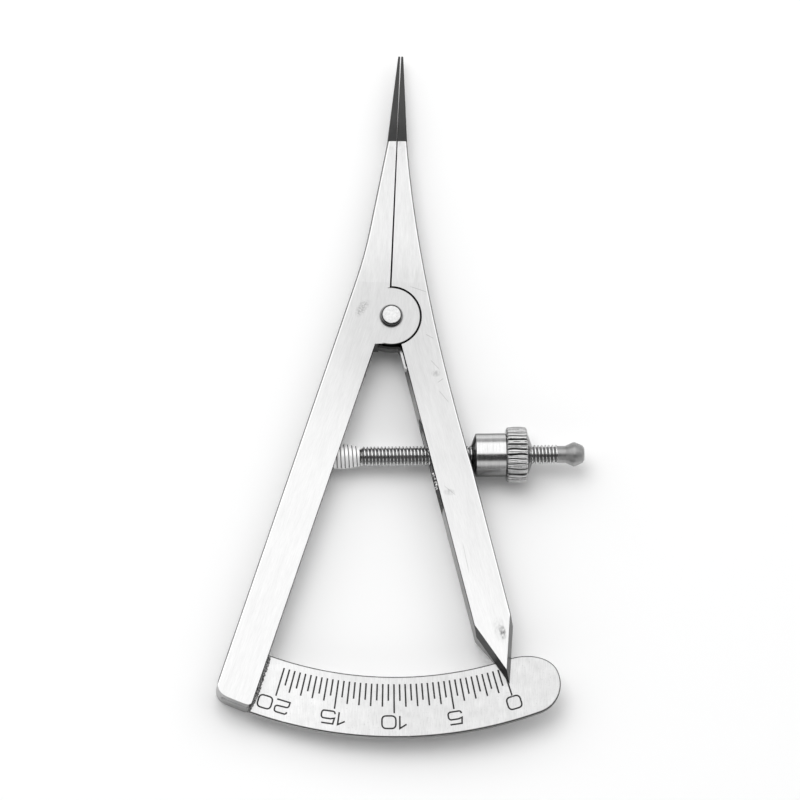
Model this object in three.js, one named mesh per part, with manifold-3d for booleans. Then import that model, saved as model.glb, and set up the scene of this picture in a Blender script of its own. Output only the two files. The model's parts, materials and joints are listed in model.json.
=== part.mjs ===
// Surgical caliper: two flat steel legs crossing in a lap joint, a screw with a knurled nut, an arc scale.
// Millimetres. The origin lies on the pivot axis, on the back plane of the legs.
// +X points right, +Y to the measuring tips, +Z to the front. The tips are closed and the pointer is at 0.

import * as THREE from 'three';
import { mergeVertices } from 'three/addons/utils/BufferGeometryUtils.js';
import Module from 'manifold-3d';

// Legs
const legThickness = 4.86;
const discRadius = 3.69;
const seamGap = 0.17;
const lapGap = 0.04;
const edgeRounding = 0.31;
const innerEdgeRounding = 0.08;
const roundingShare = 0.8;
const leftLean = 18.65;
const rightLean = 14.2;
const leftInnerOffset = 0.78;
const rightInnerOffset = 0.32;
const leftArmWidth = 4.96;
const rightArmWidth = 4.84;
const leftEndOuterCorner = 1.85;
const leftEndInnerCorner = 0.68;
const crotchRise = 0.08;
const hiddenInset = 0.41;

// Blades and hard tips
const bladeLength = 22.95;
const tipLength = 11.18;
const leftRootWidth = 1.19;
const rightRootWidth = 1.28;
const leftBladeLean = 11.5;
const leftBendReach = 3.5;
const rightCurveEnd = -19.45;
const rightRootSlope = 0.07;
const rightBendSlope = 0.285;
const seamFoot = -0.258;
const seamLean = 2.78;
const seamEndGap = 0.1;
const flatLength = 0.68;
const tipWidth = 0.32;
const tipThickness = 0.49;
const tipBevel = 0.21;

// Scale plate
const plateOuterRadius = 53.97;
const plateWidth = 7.78;
const plateThickness = 1.17;
const plateEndAngle = 24.9;
const plateCrown = 3.69;
const plateInnerSweep = 5.35;
const plateOuterSweep = 4.08;
const plateOverhang = 0.44;
const plateCover = 1.17;
const plateSlotGap = 0.1;

// Forked pointer
const pointerAngle = 17.6;
const pointerReach = 3.11;
const pointerSetback = 1.56;
const pointerInnerLead = 3.79;
const pointerOuterLead = 3.99;
const backTineAngle = 18.1;
const backTineReach = 2.04;
const forkGap = 0.15;
const forkRootGap = 1.8;

// Pivot rivet
const rivetRadius = 1.07;
const rivetHeadFlange = 0.28;
const rivetHeadHeight = 0.83;
const rivetHeadRounding = 0.33;
const rivetBackFlange = 0.63;
const runningGap = 0.05;

// Return spring
const springThickness = 0.29;
const springHeight = 2.04;
const springFrontInset = 0.49;
const springTail = 6.81;
const springTailDepth = 1.07;
const springDiscGap = 0.21;
const springWallGap = 0.07;
const springEndGap = 0.06;
const springTo = -78;

// Adjusting screw, its collar and its stop
const screwDistance = 18.96;
const screwLean = 1.06;
const screwRadius = 1.18;
const screwShankStep = 0.3;
const screwRootDepth = 2.92;
const collarStep = 0.4;
const collarNoseStep = 0.12;
const collarLength = 2.82;
const collarTaper = 1.65;
const collarRootDepth = 1.56;
const spareThread = 3.26;
const neckStep = 0.11;
const neckLength = 1.07;
const knobRadius = 1.53;
const knobRise = 0.92;
const knobLand = 0.34;
const knobFall = 0.92;
const knobRounding = 0.03;
const knobShoulderRadius = 1.09;
const knobEndRadius = 0.78;
const knobEndLength = 0.19;
const spigotRadius = 0.58;
const spigotLength = 1.94;
const spigotSeatGap = 0.02;

// Slot of the right leg that the screw passes through
const slotAbove = 5.64;
const slotBelow = 2.43;
const slotSideGap = 0.14;

// Thrust sleeve and thumb nut
const noseGap = 0.47;
const noseLip = 0.06;
const noseLength = 0.54;
const sleeveRadius = 2.73;
const sleeveLength = 4.38;
const wheelLength = 2.64;
const wheelRadius = 3.57;
const wheelBarrel = 0.13;
const wheelEdge = 0.23;
const wheelBackRadius = 2.87;
const wheelHubLip = 0.23;
const wheelHubLength = 0.56;
const knurlCount = 32;
const knurlDepth = 0.17;
const knurlEndShare = 0.3;

// Derived heights and lengths
const middle = legThickness / 2;
const lapBelow = middle - lapGap / 2;
const lapAbove = middle + lapGap / 2;
const recessRadius = discRadius + seamGap;
const crotchY = crotchRise - discRadius;
const taperStart = discRadius + flatLength;
const springLift = springThickness / 4;
const springEndInside = discRadius + springDiscGap + springLift;
const springFrom = THREE.MathUtils.radToDeg(Math.asin((springEndGap - crotchY) / springEndInside)) - 180;
const tipsY = bladeLength + tipLength;
const plateInnerRadius = plateOuterRadius - plateWidth;
const plateBottom = middle - plateThickness / 2;
const plateTop = middle + plateThickness / 2;
const legEndRadius = plateOuterRadius - plateOverhang;
const shankRadius = screwRadius - screwShankStep;
const collarRadius = screwRadius + collarStep;
const boreRadius = screwRadius + runningGap;
const far = 100;
const plateSegments = 40;

const wasm = await Module();
wasm.setup();

const radians = THREE.MathUtils.degToRad;
const tangent = (degrees) => Math.tan(radians(degrees));
const polar = (radius, degrees) => new THREE.Vector2(
  radius * Math.cos(radians(degrees)),
  radius * Math.sin(radians(degrees)),
);

// Geometry as a closed solid: shared vertices merged, empty faces dropped, faces turned outwards
function solid(geometry) {
  const bare = geometry.clone();
  bare.deleteAttribute('normal');
  bare.deleteAttribute('uv');
  const merged = mergeVertices(bare, 1e-5);
  const points = merged.attributes.position.array;
  const corner = (i) => new THREE.Vector3().fromArray(points, 3 * i);
  const triangles = [];
  let volume = 0;
  for (let i = 0; i < merged.index.count; i += 3) {
    const [a, b, c] = merged.index.array.slice(i, i + 3);
    if (a !== b && b !== c && c !== a) {
      triangles.push(a, b, c);
      volume += corner(a).dot(corner(b).cross(corner(c)));
    }
  }
  if (volume < 0) {
    triangles.reverse();
  }
  return new wasm.Manifold(new wasm.Mesh({
    numProp: 3,
    vertProperties: new Float32Array(points),
    triVerts: new Uint32Array(triangles),
  }));
}

// Closed skin through rings of points, each ring convex and with the same number of points
function loft(rings) {
  const count = rings[0].length;
  const last = (rings.length - 1) * count;
  const index = [];
  for (let r = 0; r + 1 < rings.length; r += 1) {
    for (let i = 0; i < count; i += 1) {
      const j = (i + 1) % count;
      const [a, b] = [r * count + i, r * count + j];
      index.push(a, b, b + count, a, b + count, a + count);
    }
  }
  for (let i = 1; i + 1 < count; i += 1) {
    index.push(0, i + 1, i, last, last + i, last + i + 1);
  }
  const geometry = new THREE.BufferGeometry();
  const points = rings.flat().flatMap((p) => [p.x, p.y, p.z]);
  geometry.setAttribute('position', new THREE.Float32BufferAttribute(points, 3));
  geometry.setIndex(index);
  return geometry;
}

// Flat shape given thickness between two heights
function slab(shape, bottom, top, curveSegments = 48) {
  const options = { depth: top - bottom, bevelEnabled: false, curveSegments };
  return new THREE.ExtrudeGeometry(shape, options).translate(0, 0, bottom);
}

// Turned piece about the Z axis from [radius, height] pairs
function turnedUpright(profile, segments = 96) {
  const geometry = new THREE.LatheGeometry(profile.map(([r, z]) => new THREE.Vector2(r, z)), segments);
  return geometry.rotateX(Math.PI / 2);
}

// Turned piece about the X axis from [station, radius] pairs
function turnedAlong(profile, segments = 64) {
  const geometry = new THREE.LatheGeometry(profile.map(([s, r]) => new THREE.Vector2(r, s)), segments);
  return geometry.rotateZ(-Math.PI / 2);
}

// Tube with a bore about the X axis: the outer profile runs from one end of the bore to the other
function bored(profile, bore) {
  const first = [profile[0][0], bore];
  return turnedAlong([first, ...profile, [profile.at(-1)[0], bore], first]);
}

// Disc about the pivot axis with its edge broken at the top or the bottom
function pivotDisc(bottom, top, edgeBelow, edgeAbove) {
  return solid(turnedUpright([
    [0, bottom],
    [discRadius - edgeBelow, bottom],
    [discRadius, bottom + edgeBelow],
    [discRadius, top - edgeAbove],
    [discRadius - edgeAbove, top],
    [0, top],
  ]));
}

function pivotCylinder(radius, bottom, top) {
  return solid(turnedUpright([[0, bottom], [radius, bottom], [radius, top], [0, top]]));
}

// Half of the leg's thickness, which falls evenly from above the disc to the tips
function halfThickness(y) {
  const share = THREE.MathUtils.clamp((y - taperStart) / (tipsY - taperStart), 0, 1);
  return THREE.MathUtils.lerp(legThickness, tipThickness, share) / 2;
}

// Cross-section of a leg at one height, from its inner edge to its outer edge, corners rounded
function section(y, inner, outer, outerRounding = edgeRounding, innerRounding = innerEdgeRounding) {
  const half = halfThickness(y);
  const side = Math.sign(outer - inner);
  const limit = Math.min(half, Math.abs(outer - inner) / 2) * roundingShare;
  const ring = [];
  const corners = [
    { x: inner, z: -half, r: Math.min(innerRounding, limit), dx: side, dz: 1, from: 0 },
    { x: outer, z: -half, r: Math.min(outerRounding, limit), dx: -side, dz: 1, from: 1 },
    { x: outer, z: half, r: Math.min(outerRounding, limit), dx: -side, dz: -1, from: 0 },
    { x: inner, z: half, r: Math.min(innerRounding, limit), dx: side, dz: -1, from: 1 },
  ];
  const steps = 3;
  for (const { x, z, r, dx, dz, from } of corners) {
    for (let i = 0; i <= steps; i += 1) {
      const turn = (Math.PI / 2) * (from ? 1 - i / steps : i / steps);
      const px = x + dx * r * (1 - Math.cos(turn));
      const pz = z + dz * r * (1 - Math.sin(turn));
      ring.push(new THREE.Vector3(px, y, middle + pz));
    }
  }
  return ring;
}

// Edges of the legs as X at a given Y. Below the disc each arm is a straight band leaning outwards.
const seamX = (y) => seamFoot + tangent(seamLean) * y;
const halfSeam = (y) => THREE.MathUtils.lerp(seamEndGap, seamGap, Math.abs(y / bladeLength - 1)) / 2;
const leftArmEdge = (offset, y) => -offset / Math.cos(radians(leftLean)) + tangent(leftLean) * y;
const rightArmEdge = (offset, y) => offset / Math.cos(radians(rightLean)) - tangent(rightLean) * y;

// Left outer edge: the arm's line, a short bend and the straight back of the blade
function leftOuterCurve() {
  const offset = leftInnerOffset + leftArmWidth;
  const root = new THREE.Vector2(seamX(bladeLength) - leftRootWidth, bladeLength);
  const slopes = tangent(leftLean) - tangent(leftBladeLean);
  const bendY = (root.x - tangent(leftBladeLean) * root.y - leftArmEdge(offset, 0)) / slopes;
  const [lowY, highY] = [bendY - leftBendReach, bendY + leftBendReach];
  return new THREE.QuadraticBezierCurve(
    new THREE.Vector2(root.x - tangent(leftBladeLean) * (root.y - highY), highY),
    new THREE.Vector2(leftArmEdge(offset, bendY), bendY),
    new THREE.Vector2(leftArmEdge(offset, lowY), lowY),
  );
}

// Right outer edge: one long curve from the root of the tip to the straight part of the arm
function rightOuterCurve() {
  const offset = rightInnerOffset + rightArmWidth;
  const reach = (bladeLength - rightCurveEnd) / 3;
  const root = new THREE.Vector2(seamX(bladeLength) + rightRootWidth, bladeLength);
  const arm = new THREE.Vector2(rightArmEdge(offset, rightCurveEnd), rightCurveEnd);
  return new THREE.CubicBezierCurve(
    root,
    new THREE.Vector2(root.x + rightRootSlope * reach, root.y - reach),
    new THREE.Vector2(arm.x - rightBendSlope * reach, arm.y + reach),
    arm,
  );
}

// X of a falling curve at a given Y, found by halving
function curveX(curve, y) {
  let [above, below] = [0, 1];
  while (below - above > 1e-6) {
    const half = (above + below) / 2;
    if (curve.getPoint(half).y > y) {
      above = half;
    } else {
      below = half;
    }
  }
  return curve.getPoint(above).x;
}

// Evenly spaced heights from the first down to the last
function heightsBetween(from, to) {
  const step = 1.7;
  const count = Math.max(1, Math.round((from - to) / step));
  return Array.from({ length: count + 1 }, (_, i) => THREE.MathUtils.lerp(from, to, i / count));
}

// Leg before its pivot, slots and end are cut: blade above, a band hidden inside the disc, arm below
function legBlank(side) {
  const outerCurve = side < 0 ? leftOuterCurve() : rightOuterCurve();
  const armEdge = side < 0 ? leftArmEdge : rightArmEdge;
  const innerOffset = side < 0 ? leftInnerOffset : rightInnerOffset;
  const outerOffset = innerOffset + (side < 0 ? leftArmWidth : rightArmWidth);
  const [top, bottom] = [outerCurve.getPoint(0), outerCurve.getPoint(1)];
  const rootX = seamX(bladeLength) + side * (side < 0 ? leftRootWidth : rightRootWidth);
  const outer = (y) => {
    if (y > top.y) {
      return THREE.MathUtils.mapLinear(y, top.y, bladeLength, top.x, rootX);
    }
    return y < bottom.y ? armEdge(outerOffset, y) : curveX(outerCurve, y);
  };
  const inner = (y) => {
    if (y >= discRadius) {
      return seamX(y) + side * halfSeam(y);
    }
    return y > crotchY ? side * hiddenInset : armEdge(innerOffset, y);
  };
  const step = 0.06;
  const heights = [
    ...heightsBetween(bladeLength, taperStart),
    ...heightsBetween(discRadius, discRadius - step),
    ...heightsBetween(discRadius - 1, crotchY + 1),
    ...heightsBetween(crotchY + step, crotchY),
    ...heightsBetween(crotchY - 1, Math.min(bottom.y, crotchY - 2)),
    -plateOuterRadius - 1,
  ];
  return solid(loft(heights.map((y) => section(y, inner(y), outer(y)))));
}

// Arc plate between two radii, cut off at the given distance inside the outer edge of the left arm
// and rounded off at its right end
function plateShape(cover, inside, outside) {
  const crown = plateInnerRadius + plateCrown;
  const endTurn = (radius, sweep) => radians(plateEndAngle - 90) - sweep / radius;
  const nearEnd = (radius, sweep) => new THREE.Vector2(radius, 0)
    .rotateAround(new THREE.Vector2(), endTurn(radius, sweep));
  const rootOffset = leftInnerOffset + leftArmWidth - cover;
  const rootTurn = -radians(90 + leftLean) - Math.asin(rootOffset / plateOuterRadius);
  const pull = 0.4477;
  const shape = new THREE.Shape();
  const bend = (...points) => shape.bezierCurveTo(...points.flatMap((p) => p.toArray()));
  shape.absarc(0, 0, outside, rootTurn, endTurn(outside, plateOuterSweep), false);
  bend(
    nearEnd(outside, pull * plateOuterSweep),
    nearEnd(THREE.MathUtils.lerp(outside, crown, pull), 0),
    nearEnd(crown, 0),
  );
  bend(
    nearEnd(THREE.MathUtils.lerp(inside, crown, pull), 0),
    nearEnd(inside, pull * plateInnerSweep),
    nearEnd(inside, plateInnerSweep),
  );
  shape.absarc(0, 0, inside, endTurn(inside, plateInnerSweep), rootTurn, true);
  return shape;
}

// Points of the arms: an offset outwards from the line through the pivot, and a distance along it
function onArm(side, offset, distance) {
  const lean = radians(side < 0 ? leftLean : rightLean);
  return new THREE.Vector2(
    side * (offset * Math.cos(lean) + distance * Math.sin(lean)),
    offset * Math.sin(lean) - distance * Math.cos(lean),
  );
}

// The turned pieces of the screw stand in this group, with X along the screw
function screwFrame() {
  const foot = onArm(-1, leftInnerOffset, screwDistance);
  const group = new THREE.Group();
  group.position.set(foot.x, foot.y, middle);
  group.rotation.z = radians(screwLean);
  group.updateMatrix();
  return group;
}

const screwGroup = screwFrame();

// Station on the screw where it leaves the outer wall of the right arm
function outerWallStation() {
  const offset = rightInnerOffset + rightArmWidth;
  const start = screwGroup.position;
  const gap = rightArmEdge(offset, start.y) - start.x;
  return gap / (Math.cos(radians(screwLean)) + tangent(rightLean) * Math.sin(radians(screwLean)));
}

const noseStation = outerWallStation() + noseGap;
const wheelStation = noseStation + sleeveLength;
const wheelEnd = wheelStation + wheelLength;
const threadEnd = wheelEnd + wheelHubLength + spareThread;

// Left leg: front half of the lap, slot for the scale plate, hole for the screw and its collar
function leftLeg() {
  const hole = pivotCylinder(rivetRadius + runningGap, -1, legThickness + 1);
  const recess = pivotCylinder(recessRadius, -1, lapAbove);
  const disc = pivotDisc(lapAbove, legThickness, 0, innerEdgeRounding);
  const slotInside = plateInnerRadius - plateSlotGap;
  const slotShape = plateShape(plateCover - plateSlotGap, slotInside, plateOuterRadius + 1);
  const plateSlot = solid(slab(slotShape, plateBottom, plateTop, plateSegments));
  const bore = turnedAlong([
    [-screwRootDepth - runningGap, 0],
    [-screwRootDepth - runningGap, shankRadius + runningGap],
    [-collarRootDepth - runningGap, shankRadius + runningGap],
    [-collarRootDepth - runningGap, collarRadius + runningGap],
    [2 * collarLength, collarRadius + runningGap],
    [2 * collarLength, 0],
  ]);
  return legBlank(-1)
    .intersect(leftEnd())
    .subtract(recess)
    .add(disc)
    .subtract(hole)
    .subtract(plateSlot)
    .subtract(solid(bore.applyMatrix4(screwGroup.matrix)));
}

// Room inside the left arm's end: an arc about the pivot between two rounded corners
function leftEnd() {
  const onEnd = (offset) => onArm(-1, offset, Math.sqrt(legEndRadius ** 2 - offset ** 2));
  const before = (offset, gap) => onArm(-1, offset, Math.sqrt(legEndRadius ** 2 - offset ** 2) - gap);
  const [outer, inner] = [leftInnerOffset + leftArmWidth, leftInnerOffset];
  const arcFrom = onEnd(outer - leftEndOuterCorner);
  const arcTo = onEnd(inner + leftEndInnerCorner);
  const outerStart = before(outer, leftEndOuterCorner);
  const innerEnd = before(inner, leftEndInnerCorner);
  const wide = (point, side) => point.clone().add(onArm(-1, side * far, 0));
  const shape = new THREE.Shape([onArm(-1, far, -far), wide(outerStart, 1), outerStart]);
  shape.quadraticCurveTo(...onEnd(outer).toArray(), ...arcFrom.toArray());
  shape.absarc(0, 0, legEndRadius, arcFrom.angle(), arcTo.angle(), false);
  shape.quadraticCurveTo(...onEnd(inner).toArray(), ...innerEnd.toArray());
  shape.lineTo(...wide(innerEnd, -1).toArray());
  shape.lineTo(...onArm(-1, -far, -far).toArray());
  return solid(slab(shape, -1, legThickness + 1));
}

// Frame of the right arm: X along the arm, Y to the front, Z across the arm towards the left arm
function rightArmMatrix() {
  const lean = radians(rightLean);
  const along = new THREE.Vector3(Math.sin(lean), -Math.cos(lean), 0);
  const front = new THREE.Vector3(0, 0, 1);
  const across = new THREE.Vector3().crossVectors(along, front);
  return new THREE.Matrix4().makeBasis(along, front, across).setPosition(0, 0, middle);
}

// Slot with round ends for the screw, cut square through the right arm
function screwSlot() {
  const radius = collarRadius + slotSideGap;
  const shape = new THREE.Shape();
  shape.absarc(screwDistance - slotAbove + radius, 0, radius, Math.PI / 2, 1.5 * Math.PI, false);
  shape.absarc(screwDistance + slotBelow - radius, 0, radius, 1.5 * Math.PI, 2.5 * Math.PI, false);
  const depth = 4 * rightArmWidth;
  return solid(slab(shape, -depth / 2, depth / 2, 12).applyMatrix4(rightArmMatrix()));
}

// Saw cut that turns the end of the right arm into a fork round the scale plate
function forkSlot() {
  const start = Math.sqrt(plateInnerRadius ** 2 - rightArmWidth ** 2) - forkRootGap;
  const half = plateThickness / 2 + forkGap;
  const cut = new THREE.BoxGeometry(2 * plateWidth, 2 * half, 4 * rightArmWidth);
  return solid(cut.translate(start + plateWidth, 0, 0).applyMatrix4(rightArmMatrix()));
}

// Wedge that trims the fork to its points. The front tine has flat bevels up to a narrower face.
function pointerWedge() {
  const inner = onArm(1, rightInnerOffset, plateInnerRadius - pointerInnerLead);
  const outer = onArm(1, rightInnerOffset + rightArmWidth, plateInnerRadius - pointerOuterLead);
  const tip = polar(plateInnerRadius + pointerReach, pointerAngle - 90);
  const faceTip = polar(plateInnerRadius + pointerReach - pointerSetback, pointerAngle - 90);
  const backTip = polar(plateInnerRadius + backTineReach, backTineAngle - 90);
  const run = (from, to) => to.clone().sub(from).setLength(2 * far);
  const ring = (z, apex, from) => [new THREE.Vector2(), run(from, outer), run(from, inner)]
    .map((p) => new THREE.Vector3(apex.x + p.x, apex.y + p.y, z));
  const front = loft([
    ring(middle, tip, tip),
    ring(plateTop + forkGap, tip, tip),
    ring(legThickness, faceTip, tip),
    ring(legThickness + 1, faceTip, tip),
  ]);
  const back = loft([ring(-1, backTip, backTip), ring(middle, backTip, backTip)]);
  return solid(front).add(solid(back));
}

// Centre line of the leaf spring: a slit in the right arm, the arm's inner wall, the curve below the disc
function springPath() {
  const wall = rightInnerOffset - springThickness / 2 - springWallGap;
  const arch = discRadius + springDiscGap + springThickness / 2;
  const tail = onArm(1, rightInnerOffset + springTailDepth, springTail + springThickness);
  const heel = onArm(1, wall, springTail);
  const knee = onArm(1, wall, arch + 1);
  const bend = onArm(1, wall, arch + springThickness / 2);
  const [archStart, archEnd] = [polar(arch + springLift, springTo), polar(arch + springLift, springFrom)];
  const path = new THREE.CurvePath();
  path.add(new THREE.LineCurve(tail, heel));
  path.add(new THREE.LineCurve(heel, knee));
  path.add(new THREE.QuadraticBezierCurve(knee, bend, archStart));
  path.add(new THREE.SplineCurve([archStart, polar(arch, (springFrom + springTo) / 2), archEnd]));
  return path;
}

// Flat ribbon of even thickness along a path
function ribbon(path, thickness, bottom, top) {
  const points = path.getPoints(10).filter((p, i, all) => i === 0 || p.distanceTo(all[i - 1]) > 1e-3);
  const offset = (p, i, side) => {
    const before = points[Math.max(i - 1, 0)];
    const after = points[Math.min(i + 1, points.length - 1)];
    const run = after.clone().sub(before).normalize();
    return new THREE.Vector2(p.x - side * run.y * thickness / 2, p.y + side * run.x * thickness / 2);
  };
  const left = points.map((p, i) => offset(p, i, 1));
  const right = points.map((p, i) => offset(p, i, -1));
  return solid(slab(new THREE.Shape([...left, ...right.reverse()]), bottom, top));
}

function returnSpring() {
  const top = legThickness - springFrontInset;
  return ribbon(springPath(), springThickness, top - springHeight, top);
}

// Slit of the right arm that holds the spring's tail
function springSlit() {
  const { v1: tail, v2: heel } = springPath().curves[0];
  const slit = new THREE.LineCurve(tail.clone().lerp(heel, -0.1), tail.clone().lerp(heel, 1.3));
  const top = legThickness - springFrontInset;
  return ribbon(slit, springThickness + 2 * runningGap, top - springHeight - runningGap, top + runningGap);
}

// Right leg: back half of the lap, slot for the screw, forked pointer
function rightLeg() {
  const hole = pivotCylinder(rivetRadius + runningGap, -1, legThickness + 1);
  const sink = solid(turnedUpright(rivetBack(runningGap)));
  const recess = pivotCylinder(recessRadius, lapBelow, legThickness + 1);
  const disc = pivotDisc(0, lapBelow, innerEdgeRounding, 0);
  return legBlank(1)
    .subtract(recess)
    .add(disc)
    .subtract(hole)
    .subtract(sink)
    .subtract(screwSlot())
    .intersect(pointerWedge())
    .subtract(forkSlot())
    .subtract(springSlit());
}

// Black hard tip: a fine bevelled point that carries on the lines of its blade
function hardTip(side) {
  const rootWidth = side < 0 ? leftRootWidth : rightRootWidth;
  const rings = [0, 0.5, 1].map((share) => {
    const y = bladeLength + share * tipLength;
    const inner = seamX(y) + side * halfSeam(y);
    const width = THREE.MathUtils.lerp(rootWidth, tipWidth, share);
    const bevel = THREE.MathUtils.lerp(tipBevel, tipWidth / 4, share);
    return section(y, inner, seamX(y) + side * width, bevel, innerEdgeRounding / 2);
  });
  return solid(loft(rings));
}

// Scale plate, its root trimmed flush with the end of the left arm
function scalePlate() {
  const plate = solid(slab(
    plateShape(plateCover, plateInnerRadius, plateOuterRadius),
    plateBottom,
    plateTop,
    plateSegments,
  ));
  const corners = [[0, 0], [far, 0], [far, far], [0, far]];
  const arm = new THREE.Shape(corners.map(([n, t]) => onArm(-1, leftInnerOffset + n, t)));
  return plate.subtract(solid(slab(arm, -1, legThickness + 1)).subtract(leftEnd()));
}

// Countersunk back of the rivet, flush with the back of the right leg
function rivetBack(gap) {
  return [
    [0, -gap],
    [rivetRadius + rivetBackFlange + 2 * gap, -gap],
    [rivetRadius + gap, rivetBackFlange + gap],
    [0, rivetBackFlange + gap],
  ];
}

function pivotRivet() {
  const headRadius = rivetRadius + rivetHeadFlange;
  const top = legThickness + rivetHeadHeight;
  const rounding = [0, 22.5, 45, 67.5, 90].map((turn) => [
    headRadius - rivetHeadRounding * (1 - Math.cos(radians(turn))),
    top - rivetHeadRounding * (1 - Math.sin(radians(turn))),
  ]);
  const [centre, rim, neck] = rivetBack(0);
  return solid(turnedUpright([
    centre,
    rim,
    neck,
    [rivetRadius, legThickness],
    [headRadius, legThickness],
    ...rounding,
    [0, top],
  ], 48));
}

// Screw: plain shank in the left arm under the collar, then the threaded length with a bore for the stop
function adjustingScrew() {
  return solid(turnedAlong([
    [-screwRootDepth, 0],
    [-screwRootDepth, shankRadius],
    [collarLength + runningGap, shankRadius],
    [collarLength + runningGap, screwRadius],
    [threadEnd, screwRadius],
    [threadEnd, spigotRadius + runningGap],
    [threadEnd - spigotLength - runningGap, spigotRadius + runningGap],
    [threadEnd - spigotLength - runningGap, 0],
  ]));
}

// Collar round the root of the screw, tapering down to the thread
function anchorCollar() {
  return solid(bored([
    [-collarRootDepth, collarRadius],
    [collarLength - collarTaper, collarRadius],
    [collarLength, screwRadius + collarNoseStep],
  ], shankRadius + runningGap));
}

// Neck and double-cone knob, with a spigot in the end of the screw
function screwStop() {
  const neckEnd = threadEnd + neckLength;
  const crown = neckEnd + knobRise;
  const fall = crown + knobLand + knobFall;
  return solid(turnedAlong([
    [threadEnd - spigotLength, 0],
    [threadEnd - spigotLength, spigotRadius],
    [threadEnd + spigotSeatGap, spigotRadius],
    [threadEnd + spigotSeatGap, screwRadius - neckStep],
    [neckEnd, screwRadius - neckStep],
    [crown, knobRadius - knobRounding],
    [crown + knobLand / 2, knobRadius],
    [crown + knobLand, knobRadius - knobRounding],
    [fall, knobShoulderRadius],
    [fall + knobEndLength, knobEndRadius],
    [fall + knobEndLength, 0],
  ], 48));
}

function thrustSleeve() {
  return solid(bored([
    [noseStation, boreRadius + noseLip],
    [noseStation + noseLength, sleeveRadius],
    [wheelStation - runningGap, sleeveRadius],
  ], boreRadius));
}

// Knurled wheel: barrelled rim of straight ridges, then a cone down to the hub
function thumbNut() {
  const across = [0, 0.09, 0.2, 0.5, 0.8, 0.91, 1];
  const pointsPerRidge = 4;
  const lift = [0, 1, 1, 0];
  const rings = across.map((share) => {
    const s = wheelStation + share * wheelLength;
    const fromMiddle = Math.abs(2 * share - 1);
    const edge = share === 0 || share === 1 ? wheelEdge : 0;
    const crest = wheelRadius - wheelBarrel * fromMiddle ** 2 - edge;
    const root = crest - knurlDepth * (edge ? knurlEndShare : 1);
    return Array.from({ length: knurlCount * pointsPerRidge }, (_, i) => {
      const turn = (2 * Math.PI * i) / (knurlCount * pointsPerRidge);
      const radius = lift[i % pointsPerRidge] ? crest : root;
      return new THREE.Vector3(s, radius * Math.cos(turn), radius * Math.sin(turn));
    });
  });
  const hub = turnedAlong([
    [wheelEnd - 0.1, 0],
    [wheelEnd - 0.1, wheelBackRadius],
    [wheelEnd, wheelBackRadius],
    [wheelEnd + wheelHubLength, boreRadius + wheelHubLip],
    [wheelEnd + wheelHubLength, 0],
  ]);
  const bore = turnedAlong([
    [wheelStation - 1, 0],
    [wheelStation - 1, boreRadius],
    [wheelEnd + 1, boreRadius],
    [wheelEnd + 1, 0],
  ]);
  return solid(loft(rings)).add(solid(hub)).subtract(solid(bore));
}

// Materials
const brushed = { color: 0xd9dadb, roughness: 0.34, metalness: 1 };
const finishes = {
  satinSteel: brushed,
  turnedSteel: { ...brushed, color: 0xd2d2d2, roughness: 0.26 },
  plateSteel: { ...brushed, color: 0xdcddde, roughness: 0.3 },
  threadSteel: { ...brushed, color: 0x9c9c9c, roughness: 0.38 },
  stopSteel: { ...brushed, color: 0x8d8d8d, roughness: 0.48 },
  springSteel: { ...brushed, color: 0xc2c2c4, roughness: 0.3 },
  blackTip: { color: 0x2e2e2f, roughness: 0.45, metalness: 0.7 },
};

// Mesh of a solid, in one of the finishes
function piece(name, body, finish) {
  const { vertProperties, triVerts } = body.getMesh();
  const geometry = new THREE.BufferGeometry();
  geometry.setAttribute('position', new THREE.BufferAttribute(new Float32Array(vertProperties), 3));
  geometry.setIndex(new THREE.BufferAttribute(new Uint32Array(triVerts), 1));
  geometry.computeVertexNormals();
  const mesh = new THREE.Mesh(geometry, new THREE.MeshStandardMaterial(finishes[finish]));
  mesh.name = name;
  return mesh;
}

const caliper = new THREE.Group();
caliper.add(
  piece('left_leg', leftLeg(), 'satinSteel'),
  piece('left_tip', hardTip(-1), 'blackTip'),
  piece('scale_plate', scalePlate(), 'plateSteel'),
  piece('right_leg', rightLeg(), 'satinSteel'),
  piece('right_tip', hardTip(1), 'blackTip'),
  piece('pivot_rivet', pivotRivet(), 'turnedSteel'),
  piece('return_spring', returnSpring(), 'springSteel'),
);
screwGroup.add(
  piece('adjusting_screw', adjustingScrew(), 'threadSteel'),
  piece('anchor_collar', anchorCollar(), 'turnedSteel'),
  piece('screw_stop', screwStop(), 'stopSteel'),
  piece('thrust_sleeve', thrustSleeve(), 'turnedSteel'),
  piece('thumb_nut', thumbNut(), 'turnedSteel'),
);
caliper.add(screwGroup);

export default caliper;
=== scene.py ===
# Looks of a surgical caliper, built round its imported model. Metres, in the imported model's frame:
# +X right, +Y towards the measuring tips, +Z out of the front face along the pivot axis.

import json
import math
import random

import bpy
import numpy as np
from mathutils import Matrix, Vector
from mathutils.geometry import delaunay_2d_cdt


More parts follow.
